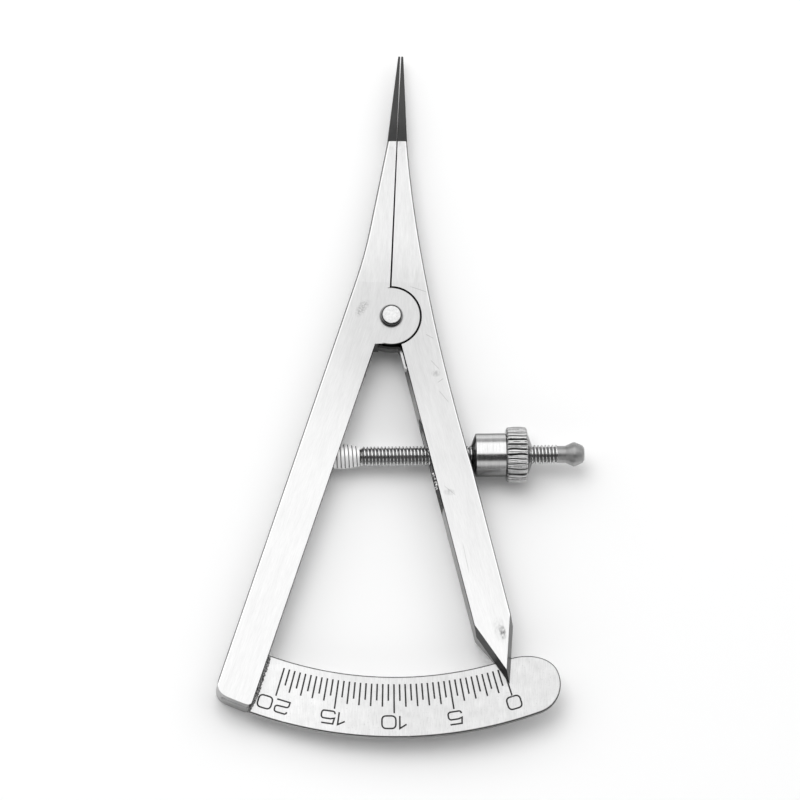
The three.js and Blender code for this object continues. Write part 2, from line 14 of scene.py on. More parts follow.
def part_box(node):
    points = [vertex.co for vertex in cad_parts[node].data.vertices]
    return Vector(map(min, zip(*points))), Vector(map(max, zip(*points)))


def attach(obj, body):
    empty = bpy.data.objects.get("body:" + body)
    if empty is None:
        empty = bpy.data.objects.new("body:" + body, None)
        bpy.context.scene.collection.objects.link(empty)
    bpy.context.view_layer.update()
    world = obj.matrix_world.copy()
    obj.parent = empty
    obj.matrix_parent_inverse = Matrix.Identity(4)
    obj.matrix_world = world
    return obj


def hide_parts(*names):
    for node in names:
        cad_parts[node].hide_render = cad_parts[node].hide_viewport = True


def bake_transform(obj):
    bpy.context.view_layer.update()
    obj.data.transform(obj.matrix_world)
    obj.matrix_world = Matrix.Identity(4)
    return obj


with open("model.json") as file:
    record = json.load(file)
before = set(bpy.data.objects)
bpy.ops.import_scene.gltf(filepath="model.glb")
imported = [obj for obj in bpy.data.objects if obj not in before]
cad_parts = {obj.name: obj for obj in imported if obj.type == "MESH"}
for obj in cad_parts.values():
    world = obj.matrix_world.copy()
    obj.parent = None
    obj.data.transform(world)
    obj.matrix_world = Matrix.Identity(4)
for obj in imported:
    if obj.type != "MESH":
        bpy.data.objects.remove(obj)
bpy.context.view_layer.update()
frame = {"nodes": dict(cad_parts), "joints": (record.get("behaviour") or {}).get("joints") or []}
MM = 0.001


# Left leg: a flat bar of satin stainless steel, ground along its length, that carries everything fixed.
# Its front face is the brightest surface of the tool. Handling has left one smudge beside the pivot.
class Wire:
    """A value in a shader: arithmetic on it adds Math nodes to the network that it belongs to."""

    def __init__(self, network, socket):
        self.network = network
        self.socket = socket

    def maths(self, operation, *values):
        return self.network.node("ShaderNodeMath", {"operation": operation}, dict(enumerate(values)))

    def __add__(self, other):
        return self.maths("ADD", self, other)

    def __sub__(self, other):
        return self.maths("SUBTRACT", self, other)

    def __mul__(self, other):
        return self.maths("MULTIPLY", self, other)

    def __rsub__(self, other):
        return self.maths("SUBTRACT", other, self)

    def __abs__(self):
        return self.maths("ABSOLUTE", self)

    __radd__ = __add__
    __rmul__ = __mul__


class Network:
    """The nodes of a material or of the world."""

    def __init__(self, owner):
        owner.use_nodes = True
        self.owner = owner
        self.tree = owner.node_tree

    def feed(self, socket, value):
        if isinstance(value, Wire):
            self.tree.links.new(value.socket, socket)
        else:
            socket.default_value = value

    def node(self, kind, settings=None, inputs=None, output=0):
        made = self.tree.nodes.new(kind)
        for key, value in (settings or {}).items():
            setattr(made, key, value)
        for key, value in (inputs or {}).items():
            self.feed(made.inputs[key], value)
        return Wire(self, made.outputs[output])

    def step(self, value, low, high):
        """0 below low, 1 above high and smooth between them."""
        settings = {"interpolation_type": "SMOOTHSTEP"}
        return self.node("ShaderNodeMapRange", settings, {"Value": value, "From Min": low, "From Max": high})

    def noise(self, x, y, z, detail=2.0):
        """Noise from 0 to 1 at a place given by three values."""
        place = self.node("ShaderNodeCombineXYZ", None, {0: x, 1: y, 2: z})
        return self.node("ShaderNodeTexNoise", None, {"Vector": place, "Scale": 1.0, "Detail": detail})


class Finish(Network):
    """A metal finish: where a place is in millimetres, which way it faces, and how it looks there."""

    def __init__(self, name, metallic=1.0):
        super().__init__(bpy.data.materials.new(name))
        self.shader = self.tree.nodes["Principled BSDF"]
        self.shader.inputs["Metallic"].default_value = metallic
        place = self.node("ShaderNodeTexCoord", output=3)
        split = self.node("ShaderNodeSeparateXYZ", None, {0: place})
        outputs = split.socket.node.outputs
        self.x, self.y, self.z = (Wire(self, outputs[i]) * (1 / MM) for i in range(3))
        facing = self.node("ShaderNodeTexCoord", output=1)
        facing = self.node("ShaderNodeSeparateXYZ", None, {0: facing})
        outputs = facing.socket.node.outputs
        self.sideways, self.tipwards, self.front = (Wire(self, outputs[i]) for i in range(3))
        self.wall = 1 - self.step(abs(self.front), 0.35, 0.85)

    def grey(self, level):
        """Base colour from one value."""
        colour = self.node("ShaderNodeCombineColor", None, {0: level, 1: level, 2: level})
        self.feed(self.shader.inputs["Base Color"], colour)

    def relief(self, height, depth):
        """Bump of a depth in millimetres from a height of 0 to 1."""
        inputs = {"Strength": 1.0, "Distance": depth * MM, "Height": height}
        self.feed(self.shader.inputs["Normal"], self.node("ShaderNodeBump", None, inputs))

    def rough(self, value):
        self.feed(self.shader.inputs["Roughness"], value)

    def film(self, amount):
        """Covers the metal with a matt dark film where the amount is above 0: joints and painted shade."""
        matt = self.node("ShaderNodeBsdfDiffuse", None, {"Color": (0.02, 0.02, 0.02, 1)})
        metal = Wire(self, self.shader.outputs[0])
        mixed = self.node("ShaderNodeMixShader", None, {0: amount, 1: metal, 2: matt})
        self.feed(self.tree.nodes["Material Output"].inputs["Surface"], mixed)

    def spot(self, x, y, across, along, lean=0.0):
        """1 in the middle of a soft oval mark and 0 outside it."""
        turn = math.radians(lean)
        dx, dy = self.x - x, self.y - y
        u = (dx * math.cos(turn) + dy * math.sin(turn)) * (1 / across)
        v = (dy * math.cos(turn) - dx * math.sin(turn)) * (1 / along)
        return 1 - self.step(u * u + v * v, 0.0, 1.0)

    def give(self, node):
        for slot in frame["nodes"][node].material_slots:
            slot.material = self.owner


LEFT_LEAN = 18.65
LEFT_BLADE_LEAN = 4.0
TIP_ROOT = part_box("left_tip")[0].y / MM
DISC_SEAM = 3.72
RIVET_RING = 1.41
SATIN_LEVEL = 0.63
SATIN_RELIEF = 0.004
# painted light and shade: a dim spot round the pivot and a lighter lower left of the legs
DIM_SPOT = (0.5, -2.0, 9.0, 13.0)
DIM_SPOT_SHADE = 0.055
LIGHT_GRADIENT_FROM, LIGHT_GRADIENT_TO = 4.0, 32.0
LIGHT_GRADIENT_AMOUNT = 0.12
BLADES_FROM, BLADES_TO = 5.0, 8.0
BLADES_LIGHT = 0.02
# painted shade on the walls, edges and inner walls, in the crotch and round the rivet; a painted highlight
WALL_SHADE = 0.45
EDGE_SHADE = 0.5
INNER_EDGE_SHADE = 0.3
EDGE_HIGHLIGHT = 0.16
CROTCH = (0.0, -5.5, 4.5, 8.0)
CROTCH_SHADE_FILM = 0.46
RIVET_FOOT_SHADE_FILM = 0.6
INNER_EDGE_SHADE_FILM, OUTER_EDGE_SHADE_FILM = 0.45, 0.22
INNER_WALL_SHADE_FILM = 0.12
LOW_WALL_FROM, LOW_WALL_TO = 26.0, 36.0
LOW_WALL_SHADE_FILM = 0.14
LIP_FROM, LIP_TO = 3.9, 4.3
LIP_SHADE_FILM = 0.5
STAIN_MIDDLE = 0.5
STAIN_LENGTH = 3.4


def satin_steel(name, arm_lean, blade_lean, inwards):
    """Ground steel, grain along the leg. Returns finish, grey and dark film, with painted light and shade.
    """
    finish = Finish(name)
    arm = finish.node("ShaderNodeMath", {"operation": "MINIMUM"}, {0: finish.y, 1: 0.0})
    blade = finish.node("ShaderNodeMath", {"operation": "MAXIMUM"}, {0: finish.y, 1: 0.0})
    across = finish.x - arm * math.tan(math.radians(arm_lean)) - blade * math.tan(math.radians(blade_lean))
    grain = finish.noise(across * 7.0, finish.y * 0.8, finish.z * 7.0, 3.0)
    streak = finish.noise(across * 2.2, finish.y * 0.25, finish.z * 2.2)
    cloud = finish.noise(finish.x * 0.9, finish.y * 0.35, finish.z * 0.9)
    finish.rough(grain * 0.14 + cloud * 0.1 + 0.22)
    finish.relief(grain, SATIN_RELIEF)
    # painted light and shade: lighter towards the lower left, dimmer round the pivot, the blades a little
    # lighter
    painted_light_gradient = finish.step(finish.x * -0.9 - finish.y, LIGHT_GRADIENT_FROM, LIGHT_GRADIENT_TO) * LIGHT_GRADIENT_AMOUNT
    blades = finish.step(finish.y, BLADES_FROM, BLADES_TO) * BLADES_LIGHT
    dim_spot_shade = finish.spot(*DIM_SPOT) * DIM_SPOT_SHADE
    grey = (grain - 0.5) * 0.16 + (streak - 0.5) * 0.1 + (cloud - 0.5) * 0.08
    grey = grey + painted_light_gradient + blades - dim_spot_shade + SATIN_LEVEL
    # painted shade on walls and rounded edges, most on the inner side; a painted highlight beside the front
    along_arm = finish.step(abs(finish.sideways) - abs(finish.tipwards), 0.0, 0.05)
    edge = finish.step(abs(finish.front), 0.1, 0.25) * (1 - finish.step(abs(finish.front), 0.85, 0.94))
    edge = edge * along_arm
    inner = finish.step(finish.sideways * inwards, 0.15, 0.3)
    inner_wall = inner * (1 - finish.step(abs(finish.front), 0.05, 0.15))
    grey = grey * (1 - finish.wall * WALL_SHADE)
    grey = grey * (1 - edge * EDGE_SHADE) * (1 - edge * inner * INNER_EDGE_SHADE)
    edge_highlight = finish.step(finish.front, 0.93, 0.965) * (1 - finish.step(finish.front, 0.985, 0.998))
    grey = grey + edge_highlight * along_arm * EDGE_HIGHLIGHT
    # dark film in the disc's seam; painted shade round the rivet, in the crotch, on edges and inner walls
    from_pivot = finish.x.maths("SQRT", finish.x * finish.x + finish.y * finish.y)
    seam = 1 - finish.step(abs(from_pivot - DISC_SEAM), 0.07, 0.18)
    seam = seam * finish.step(finish.x - finish.y * 0.17, -0.7, -0.2)
    seam = seam * (0.5 + 0.4 * finish.step(finish.x - finish.y, 1.0, 4.5))
    rivet_foot_shade = 1 - finish.step(abs(from_pivot - RIVET_RING), 0.03, 0.14)
    crotch_shade = finish.spot(*CROTCH) * finish.wall
    low_wall = inner_wall * finish.step(finish.y * -1.0, LOW_WALL_FROM, LOW_WALL_TO)
    lip_shade = inner_wall * finish.step(finish.z, LIP_FROM, LIP_TO)
    film = seam + rivet_foot_shade * RIVET_FOOT_SHADE_FILM + crotch_shade * CROTCH_SHADE_FILM
    film = film + edge * inner * INNER_EDGE_SHADE_FILM + edge * (1 - inner) * OUTER_EDGE_SHADE_FILM
    film = film + inner_wall * INNER_WALL_SHADE_FILM + low_wall * LOW_WALL_SHADE_FILM + lip_shade * LIP_SHADE_FILM
    return finish, grey, film


def stained(finish, grey):
    """Grey heat stain with darker specks on the steel just below a brazed tip."""
    blotch = finish.noise(finish.x * 2.4, finish.y * 1.1, finish.z * 2.4, 4.0)
    near = finish.step(finish.y, TIP_ROOT - STAIN_LENGTH, TIP_ROOT + 0.4)
    specks = finish.step(finish.noise(finish.x * 5.0, finish.y * 5.0, finish.z * 5.0), 0.66, 0.74)
    inside = 1 - finish.step(abs(finish.x - STAIN_MIDDLE), 1.2, 2.4)
    return grey - near * inside * (finish.step(blotch, 0.35, 0.75) * 0.1 + specks * 0.15)


def scratch(finish, start, end, width):
    """1 on a straight hairline between two points of the front and 0 beside it."""
    run = (end[0] - start[0], end[1] - start[1])
    length = math.hypot(*run)
    dx, dy = finish.x - start[0], finish.y - start[1]
    along = (dx * run[0] + dy * run[1]) * (1 / length)
    across = abs(dx * run[1] - dy * run[0]) * (1 / length)
    fade = 1 - finish.step(abs(along - length / 2), length * 0.3, length / 2)
    return (1 - finish.step(across, 0.0, width)) * fade


SMUDGE = (-3.7, 1.0, 0.75, 1.5, -35.0)
SMUDGE_SHADE = 0.3
left_steel, left_grey, left_film_and_shade = satin_steel("satin_steel_left", LEFT_LEAN, LEFT_BLADE_LEAN, 1)
smudge = left_steel.spot(*SMUDGE)
smudge = smudge * left_steel.step(left_steel.front, 0.0, 0.5)
smudge_grain = left_steel.step(left_steel.noise(left_steel.x * 4.5, left_steel.y * 4.5, 0.0, 4.0), 0.3, 0.8)
left_grey = stained(left_steel, left_grey) - smudge * smudge_grain * SMUDGE_SHADE
left_steel.grey(left_grey)
left_steel.film(left_film_and_shade)
left_steel.give("left_leg")


# Right leg: the same satin bar with the pointer ground at its end.
# Its front has a dark smudge on the pointer, hairline scratches and faint handling marks, and its inner wall
# is darker, mottled and torn at the screw slot. Painted shade darkens the mouth of the fork slot.
RIGHT_LEAN = 14.2
RIGHT_BLADE_LEAN = 1.0
POINTER_SMUDGE = (13.95, -40.7, 0.5, 1.2, 12.0)
SMUDGE_HALO = (13.6, -40.4, 1.0, 2.0, 12.0)
FAINT_MARKS = [(5.6, -7.4, 0.7, 0.5), (7.3, -22.7, 0.9, 0.5)]
HAIRLINE_WIDTH = 0.07
SLOT_WALL_FROM, SLOT_WALL_TO = -24.9, -13.5
MOUTH_LEVEL, MOUTH_MIDDLE = 2.4, -43.6
HAIRLINES = [
    ((2.2, 3.9), (4.6, 3.1)),
    ((4.3, -2.3), (5.4, -2.9)),
    ((4.9, -5.6), (6.1, -6.9)),
    ((5.8, -8.6), (6.6, -8.0)),
    ((5.9, -9.5), (7.3, -11.2)),
    ((6.5, -21.8), (8.2, -23.2)),
    ((8.9, -29.0), (9.8, -33.5)),
]
right_steel, right_grey, right_film_and_shade = satin_steel("satin_steel_right", -RIGHT_LEAN, RIGHT_BLADE_LEAN, -1)
pointer_smudge = right_steel.spot(*POINTER_SMUDGE) + right_steel.spot(*SMUDGE_HALO) * 0.3
faint = sum(right_steel.spot(*mark) for mark in FAINT_MARKS)
dirt = right_steel.step(right_steel.noise(right_steel.x * 3.4, right_steel.y * 2.0, 0.0, 4.0), 0.25, 0.7)
hairlines = sum(scratch(right_steel, a, b, HAIRLINE_WIDTH) for a, b in HAIRLINES)
marks = dirt * (pointer_smudge * 0.45 + faint * 0.2) + hairlines * 0.2
marks = marks * right_steel.step(right_steel.front, 0.0, 0.5)
# a darker, mottled film on the inner wall along the screw slot
slot_reach = right_steel.step(right_steel.y, SLOT_WALL_FROM, SLOT_WALL_FROM + 0.5)
slot_reach = slot_reach * (1 - right_steel.step(right_steel.y, SLOT_WALL_TO - 0.5, SLOT_WALL_TO))
slot_wall_dark = slot_reach * right_steel.wall * right_steel.step(right_steel.sideways * -1.0, 0.3, 0.7)
slot_wall_mottle = right_steel.noise(right_steel.x * 4.0, right_steel.y * 4.0, right_steel.z * 4.0, 3.0)
right_steel.grey(stained(right_steel, right_grey) - marks)
# painted shade in the mouth of the fork slot that the plate passes through
fork_mouth_shade = right_steel.wall * (1 - right_steel.step(abs(right_steel.z - MOUTH_LEVEL), 0.6, 0.85))
fork_mouth_shade = fork_mouth_shade * (1 - right_steel.step(abs(right_steel.y - MOUTH_MIDDLE), 0.8, 1.1))
right_film_and_shade = right_film_and_shade + fork_mouth_shade * 0.8 + slot_wall_dark * (1.1 - slot_wall_mottle * 0.8)
right_steel.film(right_film_and_shade)
right_steel.give("right_leg")


# Slot burr: bright torn flakes that the saw left along the inner edge of the screw slot, below the screw.
# They stand a fraction of a millimetre proud of the dark wall, and their grey carries a painted glint.
def add_piece(name, points, faces, finish, sharp=35.0):
    """A mesh object of the given points in millimetres, smooth but for its sharp edges."""
    mesh = bpy.data.meshes.new(name)
    mesh.from_pydata([Vector(p) * MM for p in points], [], faces)
    mesh.polygons.foreach_set("use_smooth", [True] * len(mesh.polygons))
    mesh.set_sharp_from_angle(angle=math.radians(sharp))
    mesh.materials.append(finish.owner)
    piece = bpy.data.objects.new(name, mesh)
    bpy.context.scene.collection.objects.link(piece)
    return piece


def on_right_arm(offset, distance):
    """Point of the right arm, outwards from the line through the pivot and along it."""
    lean = math.radians(RIGHT_LEAN)
    return np.array([
        offset * math.cos(lean) + distance * math.sin(lean),
        offset * math.sin(lean) - distance * math.cos(lean),
    ])


RIGHT_INNER = 0.32
BURR_FROM, BURR_TO = 20.6, 22.9
BURR_LOW, BURR_HIGH = 2.6, 4.3
BURR_ROOT = RIGHT_INNER + 0.02
BURR_FLAKES = 13
random.seed(3)
burr_points, burr_faces = [], []
for i in range(BURR_FLAKES):
    distance = BURR_FROM + (BURR_TO - BURR_FROM) * (i + random.uniform(-0.3, 0.3)) / BURR_FLAKES
    length = random.uniform(0.2, 0.45)
    z = random.uniform(BURR_LOW, BURR_HIGH)
    drop = random.uniform(-0.7, 0.7)
    proud = random.uniform(0.14, 0.34)
    below = random.uniform(0.2, 0.5)
    peak = distance + length * random.uniform(0.2, 0.8)
    first = len(burr_points)
    burr_points += [
        (*on_right_arm(BURR_ROOT, distance), z),
        (*on_right_arm(BURR_ROOT, distance + length), z + drop),
        (*on_right_arm(BURR_ROOT, distance + length / 2), z - below),
        (*on_right_arm(RIGHT_INNER - proud, peak), z - 0.1),
    ]
    burr_faces += [tuple(first + k for k in face) for face in ((0, 1, 2), (0, 3, 1), (1, 3, 2), (2, 3, 0))]
torn_steel = Finish("torn_steel", 0.6)
torn_steel.rough(0.35)
glint_spots = torn_steel.noise(torn_steel.x * 4.0, torn_steel.y * 4.0, torn_steel.z * 4.0)
# painted glint: the flakes' grey is set brighter than the steel round them
torn_steel.grey(glint_spots * 0.2 + 0.9)
slot_burr = add_piece("slot_burr", burr_points, burr_faces, torn_steel, 5.0)
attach(slot_burr, "pointer_leg")


# Hard tips: black wear-resistant points brazed to the blades and finely ground across.
# Their bevels catch a little more light than their fronts.
TIP_STAIN_LENGTH = 5.0
TIP_GREY = 0.024
black_tip = Finish("black_tip", 0.55)
tip_grain = black_tip.noise(black_tip.x * 3.0, black_tip.y * 9.0, black_tip.z * 3.0, 3.0)
tip_cloud = black_tip.noise(black_tip.x * 0.8, black_tip.y * 0.5, black_tip.z)
tip_base = 1 - black_tip.step(black_tip.y, TIP_ROOT, TIP_ROOT + TIP_STAIN_LENGTH)
black_tip.grey(tip_grain * 0.02 + tip_cloud * 0.02 + TIP_GREY - tip_base * 0.014)
black_tip.rough(tip_grain * 0.16 + 0.28)
black_tip.relief(tip_grain, 0.003)
black_tip.give("left_tip")
black_tip.give("right_tip")


# Pivot rivet: a turned pin whose low front head is peened to a rounded rim and an uneven flat.
# Its back is countersunk flush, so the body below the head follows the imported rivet.
def ring_faces(rings, segments, closed=False):
    """Faces between rings of points, with flat ends unless the rings close on themselves."""
    faces = []
    for r in range(rings if closed else rings - 1):
        for i in range(segments):
            j = (i + 1) % segments
            low, high = r * segments, (r + 1) % rings * segments
            faces.append((low + i, low + j, high + j, high + i))
    if not closed:
        faces.append(tuple(range(segments))[::-1])
        faces.append(tuple(range((rings - 1) * segments, rings * segments)))
    return faces


rivet_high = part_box("pivot_rivet")[1] / MM
RIVET_HEAD = 1.35
RIVET_BODY = 1.07
RIVET_ROUND = 0.33
RIVET_SINK = 0.63
RIVET_SEGMENTS = 128
LEG_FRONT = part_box("left_leg")[1].z / MM
rivet_profile = [(rivet_high.x, 0.0), (RIVET_BODY, RIVET_SINK), (RIVET_BODY, LEG_FRONT)]
rivet_profile.append((RIVET_HEAD, LEG_FRONT + 0.001))
for turn in range(0, 91, 9):
    round_in = RIVET_ROUND * (1 - math.cos(math.radians(turn)))
    round_up = RIVET_ROUND * math.sin(math.radians(turn))
    rivet_profile.append((RIVET_HEAD - round_in, rivet_high.z - RIVET_ROUND + round_up))
rivet_points = [
    (r * math.cos(2 * math.pi * i / RIVET_SEGMENTS), r * math.sin(2 * math.pi * i / RIVET_SEGMENTS), z)
    for r, z in rivet_profile
    for i in range(RIVET_SEGMENTS)
]
rivet_steel = Finish("turned_steel_rivet")
rivet_cloud = rivet_steel.noise(rivet_steel.x * 3.2, rivet_steel.y * 3.2, rivet_steel.z, 4.0)
# painted shade on the head's rounded rim, lighter in one painted band, and a dark film under the head
rim = 1 - rivet_steel.step(abs(rivet_steel.front), 0.9, 0.99)
rim_light_band = 1 - rivet_steel.step(abs(rivet_steel.front - 0.42), 0.08, 0.26)
rivet_steel.grey((rivet_cloud * 0.5 + 0.4) * (1 - rim * (0.85 - rim_light_band * 0.45)))
rivet_steel.rough(rivet_cloud * 0.2 + 0.2)
rivet_underside_shade = rivet_steel.step(rivet_steel.tipwards * -1.0, 0.25, 0.7)
rivet_steel.film(rivet_underside_shade * rim * (0.9 - rim_light_band * 0.7))
rivet_steel.relief(rivet_cloud, 0.03)
rivet_faces = ring_faces(len(rivet_profile), RIVET_SEGMENTS)
rivet = add_piece("rivet", rivet_points, rivet_faces, rivet_steel)
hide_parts("pivot_rivet")
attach(rivet, "fixed_leg")


# Return spring: a bent leaf of rolled steel whose tail sits in a slit of the right arm.
# It runs up the arm's inner wall and under the disc.
SPRING_THICKNESS = 0.29
SPRING_TAIL = 6.81
SPRING_TAIL_DEPTH = 1.07
SPRING_WALL_GAP = 0.07
SPRING_DISC_GAP = 0.21
DISC_RADIUS = 3.69
SPRING_ARCH = DISC_RADIUS + SPRING_DISC_GAP + SPRING_THICKNESS / 2
SPRING_FROM, SPRING_TO = -112.5, -78.0
SPRING_LIT_FROM, SPRING_LIT_TO = -4.9, -4.3


def bezier(a, b, c, steps):
    """Points of a bend from a to c that is drawn towards b."""
    shares = np.linspace(0, 1, steps)
    return [a * (1 - t) ** 2 + b * 2 * t * (1 - t) + c * t ** 2 for t in shares]


def around_pivot(radius, degrees):
    turn = math.radians(degrees)
    return np.array([radius * math.cos(turn), radius * math.sin(turn)])


spring_wall = RIGHT_INNER - SPRING_THICKNESS / 2 - SPRING_WALL_GAP
spring_lift = SPRING_THICKNESS / 4
spring_path = [on_right_arm(RIGHT_INNER + SPRING_TAIL_DEPTH, SPRING_TAIL + SPRING_THICKNESS)]
spring_path += [on_right_arm(spring_wall, d) for d in (SPRING_TAIL, 6.0, SPRING_ARCH + 1)]
spring_bend = on_right_arm(spring_wall, SPRING_ARCH + SPRING_THICKNESS / 2)
spring_arch = around_pivot(SPRING_ARCH + spring_lift, SPRING_TO)
spring_path += bezier(spring_path[-1], spring_bend, spring_arch, 10)[1:]
for share in np.linspace(0, 1, 14)[1:]:
    lift = spring_lift * (2 * share - 1) ** 2
    spring_path.append(around_pivot(SPRING_ARCH + lift, SPRING_TO + share * (SPRING_FROM - SPRING_TO)))
spring_low, spring_high = (corner.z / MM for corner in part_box("return_spring"))
spring_points = []
for i, p in enumerate(spring_path):
    run = spring_path[min(i + 1, len(spring_path) - 1)] - spring_path[max(i - 1, 0)]
    side = np.array([-run[1], run[0]]) / np.linalg.norm(run) * SPRING_THICKNESS / 2
    spring_points += [(*(p + side), spring_low), (*(p - side), spring_low)]
    spring_points += [(*(p - side), spring_high), (*(p + side), spring_high)]
spring_steel = Finish("spring_steel")
spring_grain = spring_steel.noise(spring_steel.x * 2.0, spring_steel.y * 2.0, spring_steel.z * 14.0)
# painted shade: the arch under the disc is painted almost black; only the strip along the arm keeps the lit
# grey
spring_lit = 1 - spring_steel.step(spring_steel.y, SPRING_LIT_FROM, SPRING_LIT_TO)
spring_steel.grey((spring_grain * 0.1 + 0.7) * (spring_lit * 0.72 + 0.03))
spring_steel.rough(spring_grain * 0.15 + 0.22)
spring_faces = ring_faces(len(spring_path), 4)
spring = add_piece("leaf_spring", spring_points, spring_faces, spring_steel)
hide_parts("return_spring")
spring_start = Vector((*around_pivot(SPRING_ARCH, SPRING_FROM), spring_low)) * MM
spring_end = Vector((*around_pivot(SPRING_ARCH, SPRING_TO), spring_low)) * MM
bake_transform(spring)


# Scale plate: a satin arc plate brazed into a saw slot of the left arm.
# Its 41 graduations and five figures are engraved grooves with a dark filling.
LINES = 41
ZERO_ANGLE = 17.42
ANGLE_PER_LINE = 0.8525
LINE_TOP = 47.16
LINE_ENDS = {10: 50.9, 2: 50.07, 1: 49.3}
GROOVE_WIDTH = 0.21
GROOVE_FLOOR = 0.11
GROOVE_DEPTH = 0.07
FILLED_BELOW, CLEAR_ABOVE = 0.052, 0.007
FRONT_DEPTH = 0.12
PLATE_BELOW = 0.1
PLATE_EDGE = 0.15
PLATE_ROUNDING = [(0.0, 0.13), (0.03, 0.06), (PLATE_EDGE, 0.0)]
PLATE_INNER = 46.28
PLATE_LEVEL = 0.72
# painted shade: the plate's face and walls darken towards the right between these places
FALLOFF_FROM, FALLOFF_TO = -14.0, 4.0
WALL_FALLOFF_FROM, WALL_FALLOFF_TO = -3.0, 10.0
PLATE_EDGE_SHADE_FILM = 0.45
FILLING_DARK = 0.86
FIGURE_RADIUS = 52.05
ZERO_RADIUS = 51.75
FIGURE_GAP = 0.5
FIGURE_HEIGHT = 1.62
# each figure's width, whether its path closes, and its corners with how far their rounding reaches
FIGURES = {
    "0": (1.76, True, [(0, 0, 0.58), (1.76, 0, 0.58), (1.76, 1.62, 0.58), (0, 1.62, 0.58)]),
    "1": (0.86, False, [(0, 1.08, 0), (0.86, 1.62, 0), (0.86, 0, 0)]),
    "2": (1.7, False, [(0.05, 1.3, 0), (0.15, 1.62, 0.22), (1.68, 1.62, 0.38), (1.7, 0.8, 0.35),
                       (0.0, 0.72, 0.35), (0, 0, 0), (1.7, 0, 0)]),
    "5": (1.7, False, [(1.6, 1.62, 0), (0.12, 1.62, 0), (0.0, 0.86, 0), (0.5, 1.0, 0),
                       (1.7, 1.0, 0.42), (1.7, 0, 0.42), (0.06, 0, 0.24), (0.0, 0.34, 0)]),
}


def rounded_path(corners):
    """Path through corners given as x, y and how far their rounding reaches."""
    path = []
    count = len(corners)
    for i, (x, y, reach) in enumerate(corners):
        here = np.array([x, y], float)
        if reach == 0:
            path.append(here)
            continue
        before = np.array(corners[i - 1][:2], float) - here
        after = np.array(corners[(i + 1) % count][:2], float) - here
        start = here + before / np.linalg.norm(before) * reach
        end = here + after / np.linalg.norm(after) * reach
        path += bezier(start, here, end, 9)
    return path


def left_of(path, closed):
    """For each point of a path, the step to its left that moves both of its sides by 1."""
    steps = []
    for i, p in enumerate(path):
        run_in = p - path[i - 1]
        run_out = path[(i + 1) % len(path)] - p
        if not closed and i == 0:
            run_in = run_out
        if not closed and i + 1 == len(path):
            run_out = run_in
        run_in, run_out = run_in / np.linalg.norm(run_in), run_out / np.linalg.norm(run_out)
        run = (run_in + run_out) / np.linalg.norm(run_in + run_out)
        steps.append(np.array([-run[1], run[0]]) / max(run @ run_out, 0.4))
    return steps


def top_rim(node, top):
    """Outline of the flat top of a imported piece, counter-clockwise."""
    mesh = frame["nodes"][node].data
    places = [tuple(round(c / MM, 4) for c in vertex.co) for vertex in mesh.vertices]
    sides = set()
    for face in mesh.polygons:
        corners = [places[v] for v in face.vertices]
        if min(corner[2] for corner in corners) > top - 0.001:
            sides |= set(zip(corners, corners[1:] + corners[:1]))
    following = {a: b for a, b in sides if (b, a) not in sides}
    rim = [min(following)]
    while following[rim[-1]] != rim[0]:
        rim.append(following[rim[-1]])
    return [np.array(corner[:2]) for corner in rim]


PLATE_BOTTOM, PLATE_TOP = (corner.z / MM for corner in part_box("scale_plate"))
grooves = []
for line in range(LINES):
    angle = ZERO_ANGLE - 90 - ANGLE_PER_LINE * line
    end = next(LINE_ENDS[every] for every in (10, 2, 1) if line % every == 0)
    grooves.append(([around_pivot(r, angle) for r in (LINE_TOP, end)], False))
for value in (0, 5, 10, 15, 20):
    angle = math.radians(ZERO_ANGLE - 2 * ANGLE_PER_LINE * value)
    outwards = np.array([math.sin(angle), -math.cos(angle)])
    onwards = np.array([outwards[1], -outwards[0]])
    middle = outwards * (FIGURE_RADIUS if value else ZERO_RADIUS)
    figures = [FIGURES[figure] for figure in str(value)]
    start = -(sum(width for width, _, _ in figures) + FIGURE_GAP * (len(figures) - 1)) / 2
    for width, closed, corners in figures:
        figure_path = [
            middle + outwards * (q[1] - FIGURE_HEIGHT / 2) + onwards * (start + q[0])
            for q in rounded_path(corners)
        ]
        grooves.append((figure_path, closed))
        start += width + FIGURE_GAP

plate_steel = Finish("plate_steel")
plate_grain = plate_steel.noise(plate_steel.x * 6.0, plate_steel.y * 0.7, plate_steel.z * 6.0, 3.0)
plate_cloud = plate_steel.noise(plate_steel.x * 0.7, plate_steel.y * 0.7, plate_steel.z)
filling = 1 - plate_steel.step(plate_steel.z, PLATE_TOP - FILLED_BELOW, PLATE_TOP - CLEAR_ABOVE)
on_front = plate_steel.step(plate_steel.z, PLATE_TOP - FRONT_DEPTH - 0.04, PLATE_TOP - FRONT_DEPTH)
dark = filling * on_front
from_pivot = plate_steel.x.maths("SQRT", plate_steel.x * plate_steel.x + plate_steel.y * plate_steel.y)
# a darker line along the inner rim, and painted shade on the edge bevels
inner_rim = 1 - plate_steel.step(from_pivot, PLATE_INNER, PLATE_INNER + 0.14)
plate_edge_shade = plate_steel.step(plate_steel.front, 0.3, 0.6)
plate_edge_shade = plate_edge_shade * (1 - plate_steel.step(plate_steel.front, 0.97, 0.995)) * (1 - dark)
